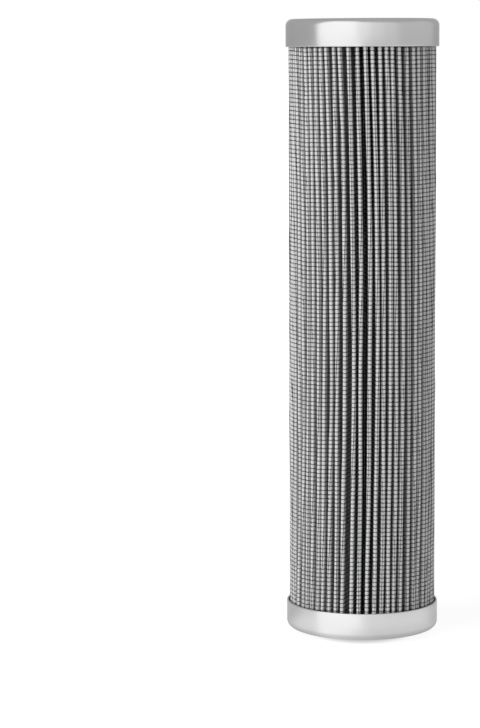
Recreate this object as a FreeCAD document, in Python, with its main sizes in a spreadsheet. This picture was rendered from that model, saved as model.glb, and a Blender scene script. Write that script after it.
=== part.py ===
import FreeCAD, Part
import os
import re
import Sketcher

# A pleated filter element for a hydraulic filter. It stands on its open end, the closed end on top.
# Millimetres, +Z up, origin in the middle of the floor under the element.

# Driving dimensions: name, size, meaning. Each clearance that a fit needs has a name of its own.

SIZES = [
    ("face_length", 208.9, "from the outside face of one end cap to that of the other"),
    ("cap_diameter", 52.0, "outside of the skirt of both end caps"),
    ("cap_depth", 9.4, "from a cap's outside face to the free edge of its skirt"),
    ("cap_sheet", 0.6, "thickness of the pressed cap sheet"),
    ("cap_corner", 1.2, "bevel between a cap's face and its skirt"),
    ("bore_diameter", 24.4, "hole that goes over the filter head's spigot"),
    ("collar_height", 1.6, "how far the collar round the bore stands out of the open cap"),
    ("collar_crown", 0.8, "bevel along the outer edge of the collar's crest"),
    ("ring_section", 2.5, "thickness of the seal ring"),
    ("ring_proud", 0.2, "how far the seal ring stands out into the bore"),
    ("ring_play", 0.05, "clearance between the seal ring and what holds it"),
    ("potting_depth", 2.4, "depth of the cured adhesive in each cap"),
    ("core_play", 0.1, "how much wider the core tube is than the bore, each side"),
    ("core_wall", 0.6, "thickness of the core tube's sheet"),
    ("slot_length", 30.0, "drain slot in the core tube, along it"),
    ("slot_width", 4.0, "drain slot in the core tube, across it"),
    ("slot_rows", 3, "rows of slots along the core tube"),
    ("slot_columns", 4, "slots in each row"),
    ("slot_margin", 35.0, "from each end of the core tube to the middle of the nearest row"),
    ("pleat_count", 60, "folds round the pack"),
    ("pack_play", 0.1, "between the tips of the folds and a cap's skirt"),
    ("root_play", 0.25, "between the roots of the folds and the core tube"),
    ("mesh_thickness", 0.25, "woven support mesh, the outermost layer of the pack"),
    ("media_thickness", 0.36, "glass fibre layer with its backing"),
    ("valley_gap", 0.06, "space between neighbouring folds at their roots"),
    ("tip_bevel", 0.25, "bevel along both edges of a fold's tip"),
]

# Formulas that several pieces share, written in the names above

CAP_RADIUS = "cap_diameter / 2"
SKIRT_INSIDE = "(cap_diameter / 2 - cap_sheet)"
BEVEL_SHARE = "tan(22.5deg)"
CAP_FLAT = f"(cap_diameter / 2 - cap_corner - cap_sheet * {BEVEL_SHARE})"
BORE_RADIUS = "bore_diameter / 2"
RING_INSIDE = "(bore_diameter / 2 - ring_proud)"
CHANNEL_RADIUS = f"({RING_INSIDE} + ring_section + ring_play)"
COLLAR_RADIUS = f"({CHANNEL_RADIUS} + cap_sheet)"
CORE_INSIDE = "(bore_diameter / 2 + core_play)"
CORE_OUTSIDE = f"({CORE_INSIDE} + core_wall)"
RING_BOTTOM = "(cap_sheet + ring_play)"
CORE_BOTTOM = f"({RING_BOTTOM} + ring_section + ring_play)"
TOP_FACE = "(collar_height + face_length)"
POTTING_BOTTOM = "(collar_height + cap_sheet)"
POTTING_TOP = f"({TOP_FACE} - cap_sheet - potting_depth)"
PACK_BOTTOM = f"({POTTING_BOTTOM} + potting_depth)"
PACK_LENGTH = f"({POTTING_TOP} - {PACK_BOTTOM})"
CORE_LENGTH = f"({POTTING_TOP} - {CORE_BOTTOM})"

RING_SIDES = 8

doc = FreeCAD.newDocument("pleated_filter_element")
sheet = doc.addObject("Spreadsheet::Sheet", "sizes")
for row, (name, number, meaning) in enumerate(SIZES, start=1):
    sheet.set(f"A{row}", str(number))
    sheet.setAlias(f"A{row}", name)
    sheet.set(f"B{row}", meaning)
doc.recompute()


def formula(text):
    """The text with each size's name turned into a reference to its cell."""
    return re.sub(r"\b[a-z]+(_[a-z]+)+\b", lambda found: f"<<sizes>>.{found.group()}", text)


def value(text):
    return float(sheet.evalExpression(formula(text)))


def drive(thing, **settings):
    """Bind properties of an object, such as Length, to formulas of the sizes."""
    for name, text in settings.items():
        thing.setExpression(name, formula(text))


def place(thing, height):
    thing.setExpression("Placement.Base.z", formula(height))


def origin_plane(body, role):
    return next(feature for feature in body.Origin.OriginFeatures if feature.Role == role)


def hold(sketch, direction, line, text):
    """Drive one coordinate of a line's first point, or pin it to the axis where it is nought."""
    if text == "0":
        axis = -2 if direction == "DistanceX" else -1
        sketch.addConstraint(Sketcher.Constraint("PointOnObject", line, 1, axis))
        return
    sketch.addConstraint(Sketcher.Constraint(direction, -1, 1, line, 1, value(text)))
    sketch.setExpression(f"Constraints[{sketch.ConstraintCount - 1}]", formula(text))


def outline(body, plane, corners):
    """A closed sketch of straight lines through corners that are each driven by two formulas."""
    sketch = body.newObject("Sketcher::SketchObject", f"{body.Label}_outline")
    sketch.AttachmentSupport = [(origin_plane(body, plane), "")]
    sketch.MapMode = "FlatFace"
    points = [FreeCAD.Vector(value(across), value(along), 0) for across, along in corners]
    for start, end in zip(points, points[1:] + points[:1]):
        sketch.addGeometry(Part.LineSegment(start, end), False)
    for line, (across, along) in enumerate(corners):
        following = (line + 1) % len(corners)
        sketch.addConstraint(Sketcher.Constraint("Coincident", line, 2, following, 1))
        hold(sketch, "DistanceX", line, across)
        hold(sketch, "DistanceY", line, along)
    return sketch


def new_body(label):
    body = doc.addObject("PartDesign::Body", label)
    body.Label = label
    return body


def turned(label, corners):
    """A body turned about Z from its half section, given as radius and height."""
    body = new_body(label)
    sketch = outline(body, "XZ_Plane", corners)
    turn = body.newObject("PartDesign::Revolution", f"{label}_turn")
    turn.Profile = sketch
    turn.ReferenceAxis = (sketch, ["V_Axis"])
    turn.Angle = 360
    return body


# End caps. Both are pressed cups, drawn with the outside face at height 0 and the skirt upwards.


def cup_wall():
    """Half section of the cup from the edge of its face, round the skirt, to the inside flat."""
    return [
        (f"{CAP_RADIUS} - cap_corner", "0"),
        (CAP_RADIUS, "cap_corner"),
        (CAP_RADIUS, "cap_depth"),
        (SKIRT_INSIDE, "cap_depth"),
        (SKIRT_INSIDE, f"cap_corner + cap_sheet * {BEVEL_SHARE}"),
        (CAP_FLAT, "cap_sheet"),
    ]


def closed_end_cap():
    body = turned("closed_end_cap", [("0", "0")] + cup_wall() + [("0", "cap_sheet")])
    body.Placement.Rotation = FreeCAD.Rotation(FreeCAD.Vector(1, 0, 0), 180)
    place(body, TOP_FACE)
    return body


def open_end_cap():
    """The bore has a collar: a hollow bead pressed out of the face, with the seal ring's seat."""
    crest = "-collar_height"
    collar = [
        (CHANNEL_RADIUS, "cap_sheet"),
        (CHANNEL_RADIUS, f"{crest} + cap_sheet"),
        (BORE_RADIUS, f"{crest} + cap_sheet"),
        (BORE_RADIUS, crest),
        (f"{COLLAR_RADIUS} - collar_crown", crest),
        (COLLAR_RADIUS, f"{crest} + collar_crown"),
        (COLLAR_RADIUS, "0"),
    ]
    body = turned("open_end_cap", cup_wall() + collar)
    place(body, "collar_height")
    return body


# Seal ring. The corners of its section lie on the true circle.


def seal_ring():
    half = "ring_section / 2"
    corners = []
    for corner in range(RING_SIDES):
        turn = f"{360 * (corner + 0.5) / RING_SIDES}deg"
        corners.append((
            f"{RING_INSIDE} + {half} * (1 + cos({turn}))",
            f"{half} * (1 + sin({turn}))",
        ))
    body = turned("seal_ring", corners)
    place(body, RING_BOTTOM)
    return body


# Adhesive, cast in both caps. The pack and the core tube end on it. It is one node of two solids.


def potting_disc(name, height):
    disc = doc.addObject("Part::Cylinder", name)
    drive(disc, Radius=CAP_FLAT, Height="potting_depth")
    place(disc, height)
    return disc


def end_potting():
    bore = doc.addObject("Part::Cylinder", "potting_bore")
    drive(bore, Radius=CHANNEL_RADIUS, Height="potting_depth")
    place(bore, POTTING_BOTTOM)
    annulus = doc.addObject("Part::Cut", "potting_annulus")
    annulus.Base = potting_disc("lower_potting", POTTING_BOTTOM)
    annulus.Tool = bore
    both = doc.addObject("Part::Compound", "end_potting")
    both.Links = [annulus, potting_disc("upper_potting", POTTING_TOP)]
    return both


# Core tube, which keeps the pack from collapsing inwards. The oil leaves through its slots.


def core_tube():
    wall = [
        (CORE_INSIDE, "0"),
        (CORE_OUTSIDE, "0"),
        (CORE_OUTSIDE, CORE_LENGTH),
        (CORE_INSIDE, CORE_LENGTH),
    ]
    body = turned("core_tube", wall)
    slot = outline(body, "YZ_Plane", [
        ("-slot_width / 2", "slot_margin - slot_length / 2"),
        ("slot_width / 2", "slot_margin - slot_length / 2"),
        ("slot_width / 2", "slot_margin + slot_length / 2"),
        ("-slot_width / 2", "slot_margin + slot_length / 2"),
    ])
    pocket = body.newObject("PartDesign::Pocket", "slot_cut")
    pocket.Profile = slot
    pocket.Reversed = True
    drive(pocket, Length=f"{CORE_OUTSIDE} + core_wall")
    doc.recompute()
    rows = body.newObject("PartDesign::LinearPattern", "slot_rows")
    rows.Direction = (slot, ["V_Axis"])
    drive(rows, Length=f"{CORE_LENGTH} - 2 * slot_margin", Occurrences="slot_rows")
    columns = body.newObject("PartDesign::PolarPattern", "slot_columns")
    columns.Axis = (origin_plane(body, "Z_Axis"), [""])
    columns.Angle = 360
    drive(columns, Occurrences="slot_columns")
    slots = body.newObject("PartDesign::MultiTransform", "slots")
    slots.Originals = [pocket]
    slots.Transformations = [rows, columns]
    body.Tip = slots
    place(body, CORE_BOTTOM)
    return body


# Pleat pack. Each layer is one folded sheet. One fold is drawn about the X axis, from the middle of
# one valley to the middle of the next, and repeated round the pack. A layer lies between two depths,
# measured inwards from the outside of the pack.

HALF_PITCH = "180deg / pleat_count"
PACK_THICKNESS = "(mesh_thickness + media_thickness)"
TIP_RADIUS = f"({SKIRT_INSIDE} - pack_play)"
# The roots stand on the core tube, or further out where so many folds need the room.
ROOT_RADIUS = (
    f"max({CORE_OUTSIDE} + root_play; ({PACK_THICKNESS} + valley_gap) / sin({HALF_PITCH}))"
)


def beside_valley(radius, inset):
    """A point at a radius along the valley's middle, set in from it towards the fold."""
    return (
        f"({radius}) * cos({HALF_PITCH}) + ({inset}) * sin({HALF_PITCH})",
        f"({radius}) * sin({HALF_PITCH}) - ({inset}) * cos({HALF_PITCH})",
    )


def root_at(depth):
    radius = f"{ROOT_RADIUS} + {PACK_THICKNESS} - {depth}"
    return beside_valley(radius, f"valley_gap / 2 + {depth}"), beside_valley(radius, "0")


def tip_at(depth):
    return f"{TIP_RADIUS} - {depth}", f"{PACK_THICKNESS} - {depth}"


def folded_sheet(label, half_section):
    """Mirror the half fold in the X axis, pad it and repeat it round the pack."""
    body = new_body(label)
    mirrored = [
        (across, f"-({along})") for across, along in reversed(half_section) if along != "0"
    ]
    fold = outline(body, "XY_Plane", half_section + mirrored)
    pad = body.newObject("PartDesign::Pad", f"{label}_fold")
    pad.Profile = fold
    drive(pad, Length=PACK_LENGTH)
    doc.recompute()
    folds = body.newObject("PartDesign::PolarPattern", f"{label}_folds")
    folds.Originals = [pad]
    folds.Axis = (fold, ["N_Axis"])
    folds.Angle = 360
    drive(folds, Occurrences="pleat_count")
    body.Tip = folds
    place(body, PACK_BOTTOM)
    return body


def outer_mesh():
    tip, side = tip_at("0")
    valley_bottom = root_at("0")[1]
    root, root_middle = root_at("mesh_thickness")
    return folded_sheet("outer_mesh", [
        (tip, f"{side} - tip_bevel"),
        (f"{tip} - tip_bevel", side),
        valley_bottom,
        root_middle,
        root,
        tip_at("mesh_thickness"),
    ])


def filter_media():
    outer_root, outer_middle = root_at("mesh_thickness")
    inner_root, inner_middle = root_at(PACK_THICKNESS)
    return folded_sheet("filter_media", [
        tip_at("mesh_thickness"),
        outer_root,
        outer_middle,
        inner_middle,
        inner_root,
        (f"{TIP_RADIUS} - {PACK_THICKNESS}", "0"),
    ])


parts = [
    closed_end_cap(),
    open_end_cap(),
    seal_ring(),
    end_potting(),
    core_tube(),
    outer_mesh(),
    filter_media(),
]
doc.recompute()

for thing in doc.Objects:
    if "Invalid" in thing.State or "Error" in thing.State:
        raise RuntimeError(f"{thing.Label} failed to compute: {thing.State}")
for part in parts:
    if part.Shape.isNull() or not part.Shape.isValid():
        raise RuntimeError(f"{part.Label} has no valid shape")

os.makedirs("parts", exist_ok=True)
for part in parts:
    part.Shape.exportStep(f"parts/{part.Label}.step")
    box = part.Shape.BoundBox
    print(
        f"{part.Label}: {len(part.Shape.Solids)} solid, {part.Shape.Volume:.1f} mm3,"
        f" z {box.ZMin:.2f} to {box.ZMax:.2f}, width {box.XLength:.2f}"
    )
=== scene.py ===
# %% [markdown]
# # A pleated filter element
# A hydraulic filter element is a strip of white glass felt and dark wire mesh, folded into sixty
# pleats round a perforated core, and glued at both ends into tin-plated steel caps. The solids come
# from the drawing of the part, already at their real size in metres. This lesson loads them as a
# frame and gives the element the look of the real one: every wire of the mesh, the felt that swells
# between the wires, and the satin caps that round over at their corners.

# %% Load the frame
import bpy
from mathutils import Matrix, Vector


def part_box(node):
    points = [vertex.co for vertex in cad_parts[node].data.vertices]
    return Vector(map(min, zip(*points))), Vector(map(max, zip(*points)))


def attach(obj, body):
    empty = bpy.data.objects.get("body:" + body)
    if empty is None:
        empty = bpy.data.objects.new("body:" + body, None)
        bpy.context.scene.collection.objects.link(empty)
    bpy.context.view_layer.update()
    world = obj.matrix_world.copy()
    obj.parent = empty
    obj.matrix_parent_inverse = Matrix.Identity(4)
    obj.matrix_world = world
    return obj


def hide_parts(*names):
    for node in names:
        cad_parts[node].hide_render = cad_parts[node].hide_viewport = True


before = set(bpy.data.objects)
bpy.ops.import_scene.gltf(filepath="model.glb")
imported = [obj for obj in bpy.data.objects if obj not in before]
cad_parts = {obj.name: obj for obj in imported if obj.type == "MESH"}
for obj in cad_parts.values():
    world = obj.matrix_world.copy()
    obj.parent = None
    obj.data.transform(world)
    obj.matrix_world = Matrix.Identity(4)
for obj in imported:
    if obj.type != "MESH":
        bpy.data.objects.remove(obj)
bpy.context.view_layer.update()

# %% [markdown]
# Every size below is in metres. Millimetres are easier to read, so one name turns them into metres.

# %% Names used all through the lesson
import math

import bpy
import numpy as np
from mathutils import Matrix, Vector

MM = 0.001
BODY = "root"
CENTRE = Vector((0, 0, 0))
low_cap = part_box("open_end_cap")
high_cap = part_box("closed_end_cap")
CAP_RADIUS = high_cap[1].x
FACE_TOP = high_cap[1].z
print("cap radius", round(CAP_RADIUS, 4), "top face", round(FACE_TOP, 4))

# %% [markdown]
# ## Materials as sums
# A material is a small web of nodes. Written by hand as nodes and links it is hard to read, so one
# small class wraps a socket: a sum on it adds the Math nodes which work that sum out. A second
# class holds the material and has one method for every other kind of node.


# %% A socket that does sums
class Sum:
    def __init__(self, tree, socket):
        self.tree = tree
        self.socket = socket

    def math(self, operation, *parts):
        node = self.tree.nodes.new("ShaderNodeMath")
        node.operation = operation
        for slot, part in zip(node.inputs, parts):
            if isinstance(part, Sum):
                self.tree.links.new(part.socket, slot)
            else:
                slot.default_value = part
        return Sum(self.tree, node.outputs[0])

    def __add__(self, other):
        return self.math("ADD", self, other)

    def __sub__(self, other):
        return self.math("SUBTRACT", self, other)

    def __rsub__(self, other):
        return self.math("SUBTRACT", other, self)

    def __mul__(self, other):
        return self.math("MULTIPLY", self, other)

    def __truediv__(self, other):
        return self.math("DIVIDE", self, other)

    def __pow__(self, other):
        return self.math("POWER", self, other)

    __radd__ = __add__
    __rmul__ = __mul__

    def wave(self):
        """One hump for each whole number: 0 on the numbers, 1 half way between them."""
        return self.math("ABSOLUTE", self.math("SINE", self * math.pi))

    def clamp(self):
        return self.math("MINIMUM", self.math("MAXIMUM", self, 0.0), 1.0)

    def fade(self, begins, over):
        """0 up to where it begins, and then rising to 1 over a distance."""
        return ((self - begins) / over).clamp()


# %% A material with one method for its nodes
class Finish:
    def __init__(self, name):
        self.material = bpy.data.materials.new(name)
        self.material.use_nodes = True
        self.tree = self.material.node_tree
        self.tree.nodes.clear()
        self.shader = self.tree.nodes.new("ShaderNodeBsdfPrincipled")
        self.output = self.tree.nodes.new("ShaderNodeOutputMaterial")
        self.tree.links.new(self.shader.outputs[0], self.output.inputs["Surface"])

    def node(self, kind, out=0, settings=None, **values):
        """Any node: its type, its settings first, then the values or links of its sockets.
        A socket is called by its name, or by its number as n0, n1 and so on."""
        node = self.tree.nodes.new(kind)
        for name, value in (settings or {}).items():
            setattr(node, name, value)
        for name, value in values.items():
            key = int(name[1:]) if name[0] == "n" and name[1:].isdigit() else name
            self.feed(node.inputs[key], value)
        return Sum(self.tree, node.outputs[out])

    def feed(self, socket, value):
        if isinstance(value, Sum):
            self.tree.links.new(value.socket, socket)
        else:
            socket.default_value = value

    def set(self, **values):
        """Values or links for the shader, with _ for the space in a socket's name."""
        for name, value in values.items():
            self.feed(self.shader.inputs[name.replace("_", " ")], value)

    def place(self, scale=(1, 1, 1)):
        """Where a point is on the object, in metres, stretched by scale."""
        where = self.node("ShaderNodeTexCoord", out=3)
        return self.node("ShaderNodeMapping", Vector=where, Scale=scale)

    def split(self, where, count):
        """The first so many of a point's numbers, each by itself."""
        apart = self.tree.nodes.new("ShaderNodeSeparateXYZ")
        self.feed(apart.inputs[0], where)
        return [Sum(self.tree, apart.outputs[number]) for number in range(count)]

    def length(self, where, scale=(1, 1, 1)):
        """How far a point lies from the middle, once it is stretched by scale."""
        stretched = self.node("ShaderNodeVectorMath", settings={"operation": "MULTIPLY"},
                              n0=where, n1=scale)
        return self.node("ShaderNodeVectorMath", settings={"operation": "LENGTH"}, out=1,
                         n0=stretched)

    def noise(self, where, scale, detail, roughness):
        return self.node("ShaderNodeTexNoise", Vector=where, Scale=scale, Detail=detail,
                         Roughness=roughness)

    def blend(self, share, first, second):
        """A colour between two colours."""
        return self.node("ShaderNodeMix", out=2, settings={"data_type": "RGBA"}, Factor=share,
                         n6=first, n7=second)

    def bump(self, height, distance, strength):
        normal = self.node("ShaderNodeBump", Strength=strength, Distance=distance, Height=height)
        self.set(Normal=normal)


def grey(value):
    return (value, value, value, 1.0)


# %% [markdown]
# ## Tin-plated steel
# The caps are drawn from tin-plated sheet. The plating is satin, so a lamp shows in it as a soft
# band and not as a sharp picture. Rolling leaves the finest of lines round the skirt, and handling
# leaves cloudy patches that are a little duller than the rest. A photograph of such a patch could be
# wrapped round the cap, but noise in the material has no seam and works at any size. Specular Tint
# holds the shine back where the metal is seen almost edge on, which would glare otherwise.

# %% The finish of the caps
def tin_plate():
    tin = Finish("satin_tin_plate")
    cloudy = tin.noise(tin.place(), 60.0, 3.0, 0.55)
    drawn = tin.noise(tin.place((1, 1, 30)), 90.0, 4.0, 0.6)
    tin.set(Metallic=1.0, Specular_Tint=grey(0.76), Anisotropic=0.3, Anisotropic_Rotation=0.25)
    tin.set(Base_Color=tin.blend(cloudy, grey(0.43), grey(0.475)))
    tin.set(Roughness=0.18 + cloudy * 0.10 + drawn * 0.05)
    tin.bump(drawn, 0.00002, 0.4)
    return tin.material


TIN = tin_plate()
print("finish", TIN.name)

# %% [markdown]
# ## The caps
# Each cap is a shallow cup pressed from sheet 0.6 mm thick, so every bend in it is round. The way
# here is the way of a metal spinner: a ring of points is drawn out from the middle, ring by ring,
# until it has the profile of the cup's outside. The bends are then rounded with Bevel, Solidify
# gives the sheet its thickness towards the inside, and a last Bevel breaks the cut edge.

# %% A helper that draws a ring of points out into a sheet
CAP_SIDES = 160


def clear_selection():
    """Leaves edit mode, with nothing selected."""
    if bpy.context.object and bpy.context.object.mode != "OBJECT":
        bpy.ops.object.mode_set(mode="OBJECT")
    bpy.ops.object.select_all(action="DESELECT")


def start_piece(name, add, **size):
    """Adds a primitive and names it; it stays the active object."""
    clear_selection()
    add(**size)
    piece = bpy.context.object
    piece.name = piece.data.name = name
    return piece


def pick_ring(piece, radius, height, slack=0.05 * MM):
    """Selects the edges of one ring of a turned sheet, by its place."""
    bpy.ops.object.mode_set(mode="OBJECT")
    mesh = piece.data
    spots = np.array([v.co for v in mesh.vertices])
    on_ring = (abs(np.hypot(spots[:, 0], spots[:, 1]) - radius) < slack) & (
        abs(spots[:, 2] - height) < slack)
    ends = np.array([e.vertices for e in mesh.edges])
    for group in (mesh.vertices, mesh.polygons, mesh.edges):
        group.foreach_set("select", np.zeros(len(group), bool))
    mesh.edges.foreach_set("select", on_ring[ends].all(1))
    mesh.vertices.foreach_set("select", on_ring)
    bpy.ops.object.mode_set(mode="EDIT")
    bpy.ops.mesh.select_mode(type="EDGE")


def drawn_sheet(name, rings, bends, closed):
    """A sheet through rings of (radius, height). Bends are (ring, rounding, segments)."""
    (radius, height), *rest = rings
    fill = "TRIFAN" if closed else "NOTHING"
    piece = start_piece(name, bpy.ops.mesh.primitive_circle_add, vertices=CAP_SIDES,
                        radius=radius, fill_type=fill, location=(0, 0, height))
    bpy.ops.object.transform_apply(location=True)
    for next_radius, next_height in rest:
        pick_ring(piece, radius, height)
        bpy.ops.mesh.extrude_region_move(
            TRANSFORM_OT_translate={"value": (0, 0, next_height - height)})
        grow = next_radius / radius
        bpy.ops.transform.resize(value=(grow, grow, 1), center_override=CENTRE)
        radius, height = next_radius, next_height
    for ring, rounding, segments in bends:
        pick_ring(piece, *rings[ring])
        bpy.ops.mesh.bevel(offset=rounding, segments=segments, affect="EDGES")
    bpy.ops.object.mode_set(mode="OBJECT")
    return piece


# %% [markdown]
# The flat of the closed cap is drawn out in a few rings, so that its triangles stay even. The corner
# between the face and the skirt is the widest bend of the cup, and a Bevel rounds it over.

# %% The closed cap's outside
skirt_top = low_cap[1].z
skirt_foot = high_cap[0].z
CORNER = 2.3 * MM
CORNER_STEPS = 8
closed_rings = [(4 * MM, FACE_TOP), (13 * MM, FACE_TOP), (22 * MM, FACE_TOP),
                (CAP_RADIUS, FACE_TOP), (CAP_RADIUS, skirt_foot)]
closed_cap = drawn_sheet("closed_cap_skin", closed_rings, [(3, CORNER, CORNER_STEPS)], True)
print(closed_cap.name, len(closed_cap.data.polygons))

# %% [markdown]
# The open cap has a collar round its bore. The sheet turns down from the face, over a crest and
# back in to the edge of the bore, and the rubber ring lies in the channel behind the crest. Seen
# from outside the collar is a bright round bead.

# %% The open cap's outside
FACE_LOW = 1.6 * MM
BORE = 12.2 * MM
BORE_EDGE = 0.58 * MM
COLLAR = 15.15 * MM
open_rings = [(BORE, BORE_EDGE), (BORE, 0.0), (COLLAR, 0.0), (COLLAR, FACE_LOW),
              (20 * MM, FACE_LOW), (CAP_RADIUS, FACE_LOW), (CAP_RADIUS, skirt_top)]
COLLAR_FOOT, COLLAR_CREST, BORE_LIP = 0.35 * MM, 0.95 * MM, 0.5 * MM
open_bends = [(5, CORNER, CORNER_STEPS), (3, COLLAR_FOOT, 3), (2, COLLAR_CREST, 6), (1, BORE_LIP, 5)]
open_cap = drawn_sheet("open_cap_skin", open_rings, open_bends, False)
print(open_cap.name, len(open_cap.data.polygons))

# %% [markdown]
# Normals have to point out of the metal before the sheet gets its thickness, because Solidify
# grows it on the inner side. The cut edge of the skirt is then broken with a small bevel.

# %% Thickness, edges and finish of both caps
SHEET = 0.6 * MM


def thicken(piece, edges):
    """Gives a skin its wall; edges are the (radius, height, rounding, segments) of the cut edges."""
    clear_selection()
    bpy.context.view_layer.objects.active = piece
    piece.select_set(True)
    bpy.ops.object.mode_set(mode="EDIT")
    bpy.ops.mesh.select_all(action="SELECT")
    bpy.ops.mesh.normals_make_consistent(inside=False)
    bpy.ops.object.mode_set(mode="OBJECT")
    wall = piece.modifiers.new("sheet", "SOLIDIFY")
    wall.thickness = SHEET
    wall.offset = -1
    wall.use_even_offset = True
    bpy.ops.object.modifier_apply(modifier=wall.name)
    for radius, height, rounding, segments in edges:
        pick_ring(piece, radius, height)
        bpy.ops.mesh.bevel(offset=rounding, segments=segments, affect="EDGES")
    bpy.ops.object.mode_set(mode="OBJECT")
    bpy.ops.object.shade_smooth_by_angle(angle=math.radians(40))


def dress(piece, material):
    """Gives a new piece its finish and the body it rides on."""
    piece.data.materials.clear()
    piece.data.materials.append(material)
    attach(piece, BODY)


OUTER_BREAK = 0.35 * MM
INNER_BREAK = 0.1 * MM
for cap, free_edge in ((closed_cap, skirt_foot), (open_cap, skirt_top)):
    thicken(cap, [(CAP_RADIUS, free_edge, OUTER_BREAK, 4),
                  (CAP_RADIUS - SHEET, free_edge, INNER_BREAK, 1)])
    dress(cap, TIN)
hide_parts("closed_end_cap")
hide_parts("open_end_cap")
for cap in (closed_cap, open_cap):
    print(cap.name, len(cap.data.polygons), "faces")

# %% [markdown]
# ## How the pleats lie
# The felt and the mesh are folded together on one machine. Sixty folds could be drawn as a star and
# extruded, but then the wires would need a path of their own. So one rule places both: it takes a
# point on the flat strip, as a run along the strip, a height, and a lift off the felt's face, and
# gives the point on the folded strip. One fold goes up a flank, round a tip, down the other flank and
# through a root bend to the next fold. The folds don't point straight at the axis: they lean a little
# to one side. A fold's foot stands just outside the core, its two flanks are straight blades, and the
# wires stand a little proud of the felt, so the felt's tips stop short of the pack's radius.

# %% Sizes of one fold
FOLDS = 60
PACK_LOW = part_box("outer_mesh")[0].z
PACK_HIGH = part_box("outer_mesh")[1].z
PACK_RADIUS = 25.28 * MM
LEAN = 1.0 * MM
FIRST_FOLD = math.radians(2.75)
FOOT = 13.62 * MM
TIP_HALF = 0.56 * MM
ROOT_HALF = 0.40 * MM
PROUD = 0.28 * MM
BLADE = math.sqrt(PACK_RADIUS ** 2 - LEAN ** 2) - PROUD - TIP_HALF - FOOT
TIP_RUN = math.pi * TIP_HALF
ROOT_RUN = 1.2 * MM
FOLD_RUN = 2 * BLADE + TIP_RUN + ROOT_RUN
STRIP = FOLDS * FOLD_RUN
print("blade", round(BLADE, 5), "strip", round(STRIP, 4))

# %% [markdown]
# No two folds lie quite alike, because the pack is gathered round the core by hand. The tip of each
# fold strays sideways, so that some gaps stand open and others are shut, some folds stand lower, and
# the whole pack bows sideways between the caps. The folds that face the camera are listed one by one,
# in millimetres from left to right, and the others at random, with slow waves along each of them. A
# fixed seed gives the same pack each time.

# %% How each fold strays
chance = np.random.default_rng(11)
WANDER = 0.20 * MM
MOST_WANDER = 0.35 * MM
tip_wander = chance.normal(0, WANDER, FOLDS).clip(-MOST_WANDER, MOST_WANDER)
LEFTMOST = 12
FRONT_WANDER = (0.0, 0.5, 0.5, 0.6, 0.2, 0.2, -0.2, -0.2, -0.45, -0.45, 0.05, 0.05,
                0.45, 0.37, 0.13, 0.0, -0.50, -0.50, -0.1, 0.2, -0.1, 0.3, 0.0)
front = LEFTMOST - np.arange(len(FRONT_WANDER))
tip_wander[front] = -MM * np.array(FRONT_WANDER)
slow_start = chance.uniform(0, 2 * math.pi, FOLDS)
quick_start = chance.uniform(0, 2 * math.pi, FOLDS)
DEEPEST = 0.32 * MM
sunken = chance.uniform(0, 1, FOLDS) ** 2 * DEEPEST
SLOW_SWAY, SLOW_LENGTH = 0.15 * MM, 0.21
QUICK_SWAY, QUICK_LENGTH = 0.06 * MM, 0.08
DIP, DIP_LENGTH = 0.03 * MM, 0.11
BOW_TOP = 0.078
BOW_LOW = 0.042
PACK_MIDDLE = (PACK_LOW + PACK_HIGH) / 2
PACK_HALF = (PACK_HIGH - PACK_LOW) / 2


def fold_frame(fold, height):
    """Foot, direction and length of a fold at a height, as arrays of plan points."""
    fold = np.mod(fold, FOLDS).astype(int)
    turn = 2 * math.pi * fold / FOLDS
    level = (height - PACK_MIDDLE) / PACK_HALF
    bow = np.where(level > 0, BOW_TOP, BOW_LOW) * level ** 2
    angle = FIRST_FOLD - math.pi / 2 - turn - bow
    along = np.stack([np.cos(angle), np.sin(angle)], -1)
    across = np.stack([np.sin(angle), -np.cos(angle)], -1)
    slow = np.sin(2 * math.pi * height / SLOW_LENGTH + slow_start[fold])
    quick = np.sin(2 * math.pi * height / QUICK_LENGTH + quick_start[fold])
    shift = tip_wander[fold] + SLOW_SWAY * slow + QUICK_SWAY * quick
    dip = 1 + np.sin(2 * math.pi * height / DIP_LENGTH + quick_start[fold])
    length = BLADE - sunken[fold] - DIP * dip
    foot = along * FOOT - across * LEAN
    way = along * length[..., None] + across * shift[..., None]
    size = np.linalg.norm(way, axis=-1, keepdims=True)
    along = way / size
    across = np.stack([along[..., 1], -along[..., 0]], -1)
    return foot, along, across, length


# %% The rule that folds a point of the flat strip
PULL = 0.667


def quarter_left(way):
    """The unit direction a quarter turn to the left of a direction: out of the felt's outer face."""
    way = way / np.linalg.norm(way, axis=-1, keepdims=True)
    return np.stack([-way[..., 1], way[..., 0]], -1)


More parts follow.
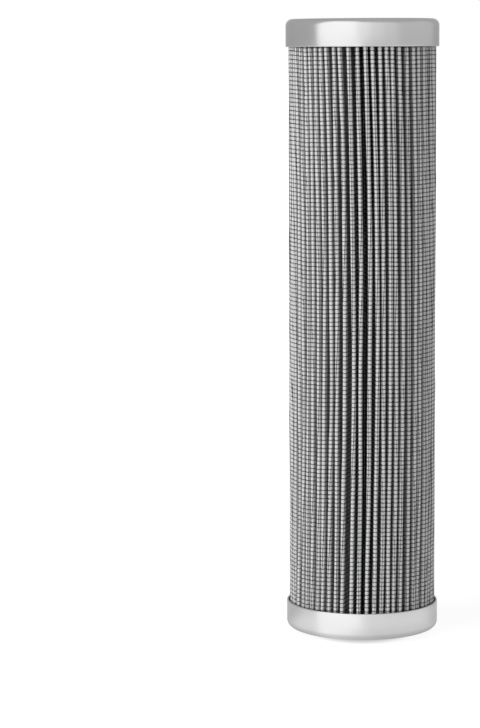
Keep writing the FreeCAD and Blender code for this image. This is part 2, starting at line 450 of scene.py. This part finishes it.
def folded(run, height, lift):
    """Plan points of the folded strip for arrays of runs, heights and lifts."""
    fold = np.floor(run / FOLD_RUN)
    rest = run - fold * FOLD_RUN
    foot, along, across, length = fold_frame(fold, height)
    reach = length[..., None]
    rise = np.clip(rest / BLADE, 0, 1)[..., None]
    start, end = -ROOT_HALF * across, -TIP_HALF * across + reach * along
    up = foot + start + (end - start) * rise
    up_way = quarter_left(end - start)
    bend = math.pi * (1 - np.clip((rest - BLADE) / TIP_RUN, 0, 1))[..., None]
    tip_way = across * np.cos(bend) + along * np.sin(bend)
    tip = foot + reach * along + TIP_HALF * tip_way
    fall = np.clip((rest - BLADE - TIP_RUN) / BLADE, 0, 1)[..., None]
    start, end = TIP_HALF * across + reach * along, ROOT_HALF * across
    down = foot + start + (end - start) * fall
    down_way = quarter_left(end - start)
    next_foot, next_along, next_across, _ = fold_frame(fold + 1, height)
    first = foot + ROOT_HALF * across
    last = next_foot - ROOT_HALF * next_across
    pull = PULL * np.linalg.norm(last - first, axis=-1, keepdims=True)
    second, third = first - along * pull, last - next_along * pull
    share = np.clip((rest - 2 * BLADE - TIP_RUN) / ROOT_RUN, 0, 1)[..., None]
    left = 1 - share
    root = (first * left ** 3 + 3 * second * left ** 2 * share
            + 3 * third * left * share ** 2 + last * share ** 3)
    root_way = quarter_left((second - first) * left ** 2 + 2 * (third - second) * left * share
                            + (last - third) * share ** 2)
    parts = [rest < BLADE, rest < BLADE + TIP_RUN, rest < 2 * BLADE + TIP_RUN]
    parts = [p[..., None] for p in parts]
    point = np.select(parts, [up, tip, down], root)
    way = np.select(parts, [up_way, tip_way, down_way], root_way)
    return point + way * lift[..., None]


# %% [markdown]
# A flank is straight, so it needs no points between its ends, while a tip is a half circle and gets
# several. The stops below are the runs at which a flat strip gets its columns of points. The stop at
# the start of a root is moved on by a hair, or the rule above would count it to the flank.

# %% Stops along the strip
TIP_STEPS = 4
ROOT_STEPS = 2
one_fold = np.concatenate([[0.0], BLADE + TIP_RUN * np.linspace(0, 1, TIP_STEPS + 1),
                           2 * BLADE + TIP_RUN + ROOT_RUN * np.linspace(0, 1, ROOT_STEPS + 1)[:-1]])
HAIR = 1e-9
one_fold[-ROOT_STEPS] += HAIR
stops = np.concatenate([fold * FOLD_RUN + one_fold for fold in range(FOLDS)] + [[STRIP]])
COLUMNS = len(stops) - 1
print("columns", COLUMNS)

# %% [markdown]
# ## The weave
# The mesh has about eighteen wires to the inch both ways. On the flat strip a wire is straight, but
# mesh and felt never run quite true to each other: the crosswise wires rise and fall a little round
# the pack, and the lengthwise ones drift from flank to tip and back. Two rules say how far, each a
# sum of slow waves, and the rise dies away at the caps, where the adhesive holds the wires level.

# %% Pitch of the wires and how they stray
ROWS = 142
PITCH = (PACK_HIGH - PACK_LOW) / ROWS
LENGTHWISE = int(round(STRIP / PITCH))
GAP = STRIP / LENGTHWISE
print("pitch", round(PITCH, 6), "lengthwise wires", LENGTHWISE)


# Waves round the pack: how many, how high in millimetres, and where they start.
RISE_WAVES = ((2, 0.15, 0.33), (4, 0.16, 0.55), (8, 0.08, 2.8), (15, 0.05, 1.7))
TILT = 0.23
FRONT = 0.140
HELD_SHARE = 0.06
# Waves round and up the pack: how many, how wide in millimetres, and their length upwards in metres.
RIPPLE, RIPPLE_SIZE, RIPPLE_LENGTH = 43, 0.04, 0.05
DRIFT_WAVES = ((3, 1.1, 0.045), (23, 0.5, 0.02), (61, 0.22, -0.013))


def rise_of_rows(run, height):
    """How far a crosswise wire lies above its true height."""
    turn = FRONT - 2 * math.pi * run / STRIP
    level = (height - PACK_MIDDLE) / PACK_HALF
    calm = np.clip((1 - abs(level)) / HELD_SHARE, 0, 1)
    rise = RIPPLE_SIZE * np.sin(RIPPLE * turn + height / RIPPLE_LENGTH)
    rise = rise - TILT * level * np.cos(2 * turn)
    for count, size, start in RISE_WAVES:
        rise = rise + size * np.cos(count * turn - start)
    return calm * MM * rise


def drift_of_wires(run, height):
    """How far a lengthwise wire lies beside its true run."""
    turn = 2 * math.pi * run / STRIP
    return MM * sum(size * np.sin(count * turn + height / wave) for count, size, wave in DRIFT_WAVES)


# %% [markdown]
# ## Glass felt
# The felt is pressed out through the mesh, so that it stands lowest under a crosswise wire and
# swells half way to the next. One flat grid makes it: its rows run up the outer face, over the top
# edge, down the inner face and back, so the sheet has its real thickness and no open edge. Folding
# moves each point, and merging the points that meet closes the strip into a ring. A single grid
# would be too heavy, so there is a lower and an upper one, which meet under a wire where the joint
# can't be seen. Wires lie over the odd rows, so the joint is an odd row too.

# %% Fold the felt
FELT = 0.36 * MM
LOW_FACE = 0.02 * MM
SWELL = 0.16 * MM
INNER_ROWS = 12
MEETING = 0.0005 * MM


def fill_mesh(piece, spots):
    """Moves every point of a mesh to its new place."""
    piece.data.vertices.foreach_set("co", spots.astype(np.float32).ravel())
    piece.data.update()


def count_along(places):
    """The number of each place along a side of a grid that runs from -1 to 1."""
    steps = len(np.unique(places.round(6))) - 1
    return np.rint((places + 1) / 2 * steps).astype(int)


def grid_piece(name, columns, rows):
    """A flat grid, with the column and the row of each of its points."""
    piece = start_piece(name, bpy.ops.mesh.primitive_grid_add, x_subdivisions=columns,
                        y_subdivisions=rows, size=2)
    spots = np.array([v.co for v in piece.data.vertices])
    return piece, count_along(spots[:, 0]), count_along(spots[:, 1])


def weld():
    """Merges the points of the active piece that meet, and turns its faces outwards."""
    bpy.ops.object.mode_set(mode="EDIT")
    bpy.ops.mesh.select_all(action="SELECT")
    bpy.ops.mesh.remove_doubles(threshold=MEETING)
    bpy.ops.mesh.normals_make_consistent(inside=False)
    bpy.ops.object.mode_set(mode="OBJECT")


def felt_rows(first, last):
    """Height and lift of the rows of one grid, once round its section, from one row to another."""
    outer = np.linspace(PACK_LOW, PACK_HIGH, 2 * ROWS + 1)[first:last + 1]
    lift = LOW_FACE + np.where(np.arange(first, last + 1) % 2 == 0, SWELL, 0)
    inner = np.linspace(outer[-1], outer[0], INNER_ROWS + 1)
    heights = np.concatenate([outer, inner, outer[:1]])
    return heights, np.concatenate([lift, np.full(INNER_ROWS + 1, -FELT), lift[:1]])


JOINT = ROWS + 1
felts = []
for name, first, last in (("glass_felt_lower", 0, JOINT), ("glass_felt_upper", JOINT, 2 * ROWS)):
    row_height, row_lift = felt_rows(first, last)
    felt, column, row = grid_piece(name, COLUMNS, len(row_height) - 1)
    run, height, lift = stops[column], row_height[row], row_lift[row]
    risen = height + np.where(lift > 0, rise_of_rows(run, height), 0)
    plan = folded(run % STRIP, risen, lift)
    cloth = felt.data.uv_layers.active
    cloth.name = "cloth"
    corner = np.zeros(len(felt.data.loops), np.int32)
    felt.data.loops.foreach_get("vertex_index", corner)
    spread = np.stack([(run - drift_of_wires(run, height)) / GAP, (height - PACK_LOW) / PITCH], -1)
    cloth.data.foreach_set("uv", spread[corner].astype(np.float32).ravel())
    fill_mesh(felt, np.concatenate([plan, risen[:, None]], -1))
    weld()
    bpy.ops.object.shade_smooth_by_angle(angle=math.radians(60))
    felts.append(felt)
    print(felt.name, len(felt.data.polygons), "faces")

# %% [markdown]
# ## Wires
# One crosswise wire is modelled as a thin bar with three sides, laid along the whole strip and cut
# at every stop. Array copies it up the strip, and folding then wraps each copy round all sixty
# pleats into one endless wire. There are 142 of them, so the bar is kept this simple. They are made
# in three objects, one above the other, because a single one would be too heavy.

# %% The crosswise wires
WIRE = 0.13 * MM
WIRE_LIFT = 0.11 * MM
SIDES = 3


def bar_sides():
    """Lift and sideways place of the corners of a wire's section, the first one again at the end."""
    angle = np.linspace(0, 2 * math.pi, SIDES + 1)
    return WIRE * np.cos(angle), WIRE * np.sin(angle)


def copies(piece, count):
    """An own mesh for each copy, all in one object; the copy's number is left in the third place."""
    clear_selection()
    bpy.context.view_layer.objects.active = piece
    piece.select_set(True)
    many = piece.modifiers.new("many", "ARRAY")
    many.count = count
    many.use_relative_offset = False
    many.use_constant_offset = True
    many.constant_offset_displace = (0, 0, 1)
    bpy.ops.object.modifier_apply(modifier=many.name)


side_lift, side_rise = bar_sides()
CUTS = 3
parts = []
for part in range(CUTS):
    wires, column, row = grid_piece(f"crosswise_wires_{part + 1}", COLUMNS, SIDES)
    spots = np.stack([column, row, np.zeros(len(row))], -1)
    fill_mesh(wires, spots)
    first = part * ROWS // CUTS
    last = (part + 1) * ROWS // CUTS
    copies(wires, last - first)
    spots = np.array([v.co for v in wires.data.vertices])
    column, row, number = np.rint(spots).astype(int).T
    run = stops[column]
    height = PACK_LOW + (first + number + 0.5) * PITCH
    risen = height + rise_of_rows(run, height)
    plan = folded(run % STRIP, risen, WIRE_LIFT + side_lift[row])
    fill_mesh(wires, np.concatenate([plan, (risen + side_rise[row])[:, None]], -1))
    weld()
    bpy.ops.object.shade_smooth()
    parts.append(wires)
    print(wires.name, len(wires.data.polygons), "faces")

# %% [markdown]
# A lengthwise wire is the same bar stood upright. It is cut into short lengths so that it can
# drift, and its ends, which are sunk in the adhesive, are closed.

# %% The lengthwise wires
LENGTHS = 20
uprights, column, row = grid_piece("lengthwise_wires", SIDES, LENGTHS)
fill_mesh(uprights, np.stack([column, row, np.zeros(len(row))], -1))
copies(uprights, LENGTHWISE)
spots = np.array([v.co for v in uprights.data.vertices])
column, row, number = np.rint(spots).astype(int).T
height = PACK_LOW + (PACK_HIGH - PACK_LOW) * row / LENGTHS
run = number * GAP
run = run + drift_of_wires(run, height) + side_rise[column]
plan = folded(run % STRIP, height, WIRE_LIFT + side_lift[column])
fill_mesh(uprights, np.concatenate([plan, height[:, None]], -1))
weld()
bpy.ops.object.mode_set(mode="EDIT")
bpy.ops.mesh.select_all(action="SELECT")
bpy.ops.mesh.fill_holes(sides=SIDES)
bpy.ops.mesh.normals_make_consistent(inside=False)
bpy.ops.object.mode_set(mode="OBJECT")
bpy.ops.object.shade_smooth_by_angle(angle=math.radians(130))
parts.append(uprights)
print(uprights.name, len(uprights.data.polygons), "faces")

# %% [markdown]
# ## Finishes of the pack
# The felt is white glass fibre. Its fibres are far finer than a picture shows, so what is seen is
# a soft unevenness and the swelling between the wires. Its finish follows the cloth's own UV map,
# which counts wires both ways, and so the swelling stays between them round every fold. Down the
# flanks the felt's colour is darkened, a painted shade for the valleys between the folds, and near
# the roots it is lighter again, a painted light that lifts the deepest gaps. The wires are coated
# with dark epoxy, which is smooth and has a dull shine.

# %% Felt and coated wire
# Painted shade: how far in from the pack's outside the felt's colour starts to darken, and the
# distance the darkening takes. Then where the painted light near the roots begins, the distance it
# takes, and how much of the darkening it takes back.
PAINTED_SHADE_FROM, PAINTED_SHADE_OVER = 0.55 * MM, 1.4 * MM
PAINTED_LIGHT_FROM, PAINTED_LIGHT_OVER, PAINTED_LIGHT_SHARE = 3.5 * MM, 3 * MM, 0.9


def glass_felt():
    felt_finish = Finish("white_glass_felt")
    on_cloth = felt_finish.node("ShaderNodeUVMap", settings={"uv_map": "cloth"})
    sideways, upward = felt_finish.split(on_cloth, 2)
    swelling = (sideways.wave() * (upward + 0.5).wave()) ** 0.6
    fibres = felt_finish.noise(felt_finish.place(), 2600.0, 4.0, 0.7)
    patches = felt_finish.noise(felt_finish.place(), 180.0, 2.0, 0.5)
    white = felt_finish.blend(patches, grey(0.86), grey(0.93))
    depth = PACK_RADIUS - felt_finish.length(felt_finish.place(), (1, 1, 0))
    # Painted shade: the felt's colour darkens with depth down the flanks, standing in for the shade
    # between the folds. Deeper down, a painted light makes it lighter again near the roots.
    painted_valley_shade = depth.fade(PAINTED_SHADE_FROM, PAINTED_SHADE_OVER)
    painted_root_light = depth.fade(PAINTED_LIGHT_FROM, PAINTED_LIGHT_OVER) * PAINTED_LIGHT_SHARE
    felt_finish.set(Base_Color=felt_finish.blend(painted_valley_shade - painted_root_light, white, grey(0.25)))
    felt_finish.set(Roughness=0.92, Specular_IOR_Level=0.2)
    felt_finish.bump(swelling + fibres * 0.15, 0.00010, 0.8)
    return felt_finish.material


def coated_wire():
    wire = Finish("epoxy_coated_wire")
    mottled = wire.noise(wire.place(), 400.0, 2.0, 0.5)
    wire.set(Base_Color=wire.blend(mottled, grey(0.030), grey(0.055)))
    wire.set(Roughness=0.40 + mottled * 0.2, Metallic=0.0, Specular_IOR_Level=0.3)
    return wire.material


WIRE_FINISH = coated_wire()
FELT_FINISH = glass_felt()
for felt in felts:
    dress(felt, FELT_FINISH)
    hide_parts("filter_media")
for wires in parts:
    dress(wires, WIRE_FINISH)
    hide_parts("outer_mesh")
print("pack dressed")

# %% [markdown]
# ## The rubber ring
# The ring that seals the element on its spigot is an O-ring. It comes out of a mould in two halves,
# which leaves a fine line of flash round the inside and the outside of it.

# %% The ring, with its mould line
ring_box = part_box("seal_ring")
ring_middle = (ring_box[0].z + ring_box[1].z) / 2
SECTION = 1.25 * MM
RING = 13.25 * MM
seal = start_piece("seal_ring_moulded", bpy.ops.mesh.primitive_torus_add, major_radius=RING,
                   minor_radius=SECTION, major_segments=144, minor_segments=24)
bpy.ops.object.mode_set(mode="EDIT")
bpy.ops.mesh.select_all(action="SELECT")
bpy.ops.transform.translate(value=(0, 0, ring_middle))
bpy.ops.mesh.normals_make_consistent(inside=False)
FLASH = 0.06 * MM
for radius in (RING - SECTION, RING + SECTION):
    pick_ring(seal, radius, ring_middle)
    bpy.ops.mesh.bevel(offset=FLASH, segments=2, affect="EDGES")
bpy.ops.object.mode_set(mode="OBJECT")
bpy.ops.object.shade_smooth()


def rubber():
    black = Finish("nitrile_rubber")
    bloom = black.noise(black.place(), 300.0, 3.0, 0.6)
    black.set(Base_Color=black.blend(bloom, grey(0.012), grey(0.028)))
    black.set(Roughness=0.45 + bloom * 0.2)
    black.bump(bloom, 0.00002, 0.3)
    return black.material


dress(seal, rubber())
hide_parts("seal_ring")
print(seal.name, len(seal.data.polygons), "faces")

# %% [markdown]
# ## Core and adhesive
# The core tube and the potting are seen only through the bore or not at all, and their solids have
# the right shape already. They keep their meshes and get a finish each.

# %% Finishes of the core and the adhesive
def core_steel():
    steel = Finish("core_steel")
    dull = steel.noise(steel.place((1, 1, 8)), 120.0, 4.0, 0.6)
    steel.set(Metallic=1.0, Base_Color=steel.blend(dull, grey(0.30), grey(0.42)))
    steel.set(Roughness=0.38 + dull * 0.15)
    steel.bump(dull, 0.00002, 0.4)
    return steel.material


def adhesive():
    glue = Finish("cured_adhesive")
    runs = glue.noise(glue.place(), 220.0, 3.0, 0.5)
    glue.set(Base_Color=glue.blend(runs, grey(0.05), grey(0.09)), Roughness=0.5)
    glue.bump(runs, 0.0001, 0.5)
    return glue.material


def redress(node, material):
    """A new finish for a solid that stays as it is."""
    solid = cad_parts[node]
    solid.data.materials.clear()
    solid.data.materials.append(material)


redress("core_tube", core_steel())
redress("end_potting", adhesive())
print("core and adhesive dressed")

# %% [markdown]
# ## Floor, background and light
# The element stands on a plain white floor in front of a plain white background. The camera and
# reflections see both as white, while they light the element only as much as a pale room would. A
# share of the floor's own shading is kept, so that the element's shadow still lies on it, and a soft
# ring of contact shadow darkens the floor close to the lower cap. That cap mirrors the floor round
# its foot, and a floor lit by lamps isn't even: it is brightest at the left front, under the key
# lamp, and dimmer behind and close to the cap. The glow below gives the mirrored floor those areas.
# Each line of it is one area, with the place where its fade begins and the distance that the fade
# takes, both in metres.

# %% The floor
LAMP_DISTANCE = 1.3
EDGE_X, EDGE_Y = -0.0149, -0.0213
EDGE_WAY_X, EDGE_WAY_Y = 0.34, 0.94
OVAL = (1.25, 1, 1)
CONTACT_FROM, CONTACT_OVER = 0.0180, 0.0055
floor = start_piece("studio_floor", bpy.ops.mesh.primitive_plane_add, size=400)


def mirrored_glow(finish, where):
    """How bright the floor is where the caps mirror it, and how far it counts as far away."""
    x, y = finish.split(where, 2)
    away = finish.length(where)
    past_edge = (x - EDGE_X) * EDGE_WAY_X - (y - EDGE_Y) * EDGE_WAY_Y
    lit = past_edge.fade(-0.004, 0.008) * (1 - x.fade(-0.008, 0.016))
    soft = past_edge.fade(-0.045, 0.045)
    left_side = (1 - x.fade(-0.040, 0.010)) * (1 - lit)
    behind = y.fade(-0.005, 0.020) * (0.20 + (1 - x.fade(-0.015, 0.030)) * 0.18)
    close = 1 - away.fade(0.026, 0.010)
    right_foot = x.fade(-0.020, 0.015) * (1 - away.fade(0.040, 0.020))
    near_glow = 1.30 + lit * 0.54 + soft * 0.30 + left_side * 0.20 - behind
    near_glow = near_glow * (1 - close * 0.27) * (1 - right_foot * 0.17)
    before_lamps = 1 - away.fade(LAMP_DISTANCE - 0.1, 0.1)
    far_glow = 0.80 + lit * before_lamps * 1.25
    far = away.fade(0.35, 0.80)
    return near_glow * (1 - far) + far * far_glow, far


def white_floor():
    finish = Finish("white_floor")
    finish.set(Base_Color=grey(0.80), Roughness=0.9, Specular_IOR_Level=0.1)
    seen = finish.tree.nodes.new("ShaderNodeLightPath")
    camera_ray = Sum(finish.tree, seen.outputs["Is Camera Ray"])
    glossy_ray = Sum(finish.tree, seen.outputs["Is Glossy Ray"])
    where = finish.place()
    glow, far = mirrored_glow(finish, where)
    contact = 1 - finish.length(where, OVAL).fade(CONTACT_FROM, CONTACT_OVER)
    seen_white = 1.65 + far * 0.35 - contact * 0.75
    bright = finish.node("ShaderNodeEmission", Color=camera_ray * seen_white + glossy_ray * glow)
    mix = finish.node("ShaderNodeMixShader", n0=camera_ray * 0.5 + glossy_ray * 0.9,
                      n1=Sum(finish.tree, finish.shader.outputs[0]), n2=bright)
    finish.tree.links.new(mix.socket, finish.output.inputs["Surface"])
    return finish.material


floor.data.materials.append(white_floor())
print("floor ready")

# %% [markdown]
# The world is a pale grey room for the light that falls on the element, and a white backdrop for
# the camera. Metal sees most of that white too, or the caps would look like dull lead.

# %% The world
ROOM_LIGHT = 0.24
MIRRORED_SHARE = 0.72
world = bpy.data.worlds.new("studio")
bpy.context.scene.world = world
world.use_nodes = True
sky = world.node_tree
sky.nodes.clear()
room = sky.nodes.new("ShaderNodeBackground")
room.inputs[0].default_value = grey(ROOM_LIGHT)
backdrop = sky.nodes.new("ShaderNodeBackground")
backdrop.inputs[0].default_value = grey(1.0)
seen = sky.nodes.new("ShaderNodeLightPath")
by_metal = Sum(sky, seen.outputs["Is Glossy Ray"]) * MIRRORED_SHARE
share = Sum(sky, seen.outputs["Is Camera Ray"]) + by_metal
either = sky.nodes.new("ShaderNodeMixShader")
sky.links.new(share.clamp().socket, either.inputs[0])
sky.links.new(room.outputs[0], either.inputs[1])
sky.links.new(backdrop.outputs[0], either.inputs[2])
sky_out = sky.nodes.new("ShaderNodeOutputWorld")
sky.links.new(either.outputs[0], sky_out.inputs["Surface"])
print("world ready")

# %% [markdown]
# One large soft lamp stands upright at the left front, so its picture in the satin caps is a broad
# white band left of the middle, with straight sides. Weaker ones carry on to the right, so that the
# band fades out there and doesn't stop. What the metal mirrors and what lights the felt are easier
# to set apart from each other, as a photographer does with white cards: the band and its wings are
# seen only in the metal, and the key and the fills only give light. A lamp is set here by what the
# element sees of it: where it begins and ends round the element, how tall it is, and how bright its
# face is.

# %% Lamps
def soft_lamp(name, begins, ends, tall, brightness, kind):
    """An upright panel from one azimuth to another, in degrees; 0 is in front and 90 on the right.
    A CARD is seen only in polished metal, and a FILL lights without being seen in it."""
    middle = math.radians((begins + ends) / 2)
    wide = 2 * LAMP_DISTANCE * math.tan(math.radians(ends - begins) / 2)
    data = bpy.data.lights.new(name, "AREA")
    data.shape = "RECTANGLE"
    data.size, data.size_y = wide, tall
    data.energy = brightness * math.pi * wide * tall
    lamp = bpy.data.objects.new(name, data)
    bpy.context.scene.collection.objects.link(lamp)
    lamp.location = (LAMP_DISTANCE * math.sin(middle), -LAMP_DISTANCE * math.cos(middle), tall / 2)
    aim = Vector((0, 0, lamp.location.z)) - lamp.location
    lamp.rotation_euler = aim.to_track_quat("-Z", "Y").to_euler()
    lamp.visible_camera = False
    lamp.visible_diffuse = kind != "CARD"
    lamp.visible_glossy = kind != "FILL"
    print(name, "watts", round(data.energy, 2))


soft_lamp("key", -80, -25, 2.6, 1.68, "FILL")
soft_lamp("fill", -5, 7, 1.6, 1.40, "FILL")
soft_lamp("right_fill", 85, 125, 1.6, 0.36, "FILL")
soft_lamp("back_fill", 145, 215, 1.6, 0.50, "FILL")
soft_lamp("band", -71, -8, 2.6, 1.30, "CARD")
soft_lamp("wing", -8, 12, 1.6, 0.88, "CARD")
soft_lamp("far_wing", 12, 32, 1.4, 0.60, "CARD")
soft_lamp("third_wing", 32, 55, 1.4, 0.43, "CARD")
soft_lamp("last_wing", 55, 130, 1.2, 0.22, "CARD")

# %% [markdown]
# ## Camera
# The camera stands level with the upper cap, 0.89 m away, with a long lens, and looks a little to
# the left of the element and 7 degrees down. Its place and its lens come from the outlines of the
# two caps: the lower one is seen from above and the upper one edge on.

# %% Camera
DISTANCE = 0.8893
EYE = 0.2011
PITCH_DOWN = math.radians(6.932)
YAW_LEFT = math.radians(2.7039)
ROLL = math.radians(-0.2824)
FOCAL_PIXELS = 2604.8
FRAME_TALL = 728
SENSOR = 36
eye_data = bpy.data.cameras.new("camera")
eye_data.sensor_fit = "AUTO"
eye_data.sensor_width = SENSOR
eye_data.lens = FOCAL_PIXELS * SENSOR / FRAME_TALL
eye_data.clip_start = 0.01
eye_data.clip_end = 20
eye = bpy.data.objects.new("camera", eye_data)
bpy.context.scene.collection.objects.link(eye)
ahead = Vector((-math.sin(YAW_LEFT) * math.cos(PITCH_DOWN),
                math.cos(YAW_LEFT) * math.cos(PITCH_DOWN), -math.sin(PITCH_DOWN)))
level_right = Vector((math.cos(YAW_LEFT), math.sin(YAW_LEFT), 0))
level_up = level_right.cross(ahead)
right = level_right * math.cos(ROLL) + level_up * math.sin(ROLL)
up = level_up * math.cos(ROLL) - level_right * math.sin(ROLL)
turned = Matrix((right, up, -ahead)).transposed().to_4x4()
eye.matrix_world = Matrix.Translation((0, -DISTANCE, EYE)) @ turned
bpy.context.scene.camera = eye
bpy.context.scene.view_settings.view_transform = "Standard"
print("lens", round(eye_data.lens, 1), "mm")
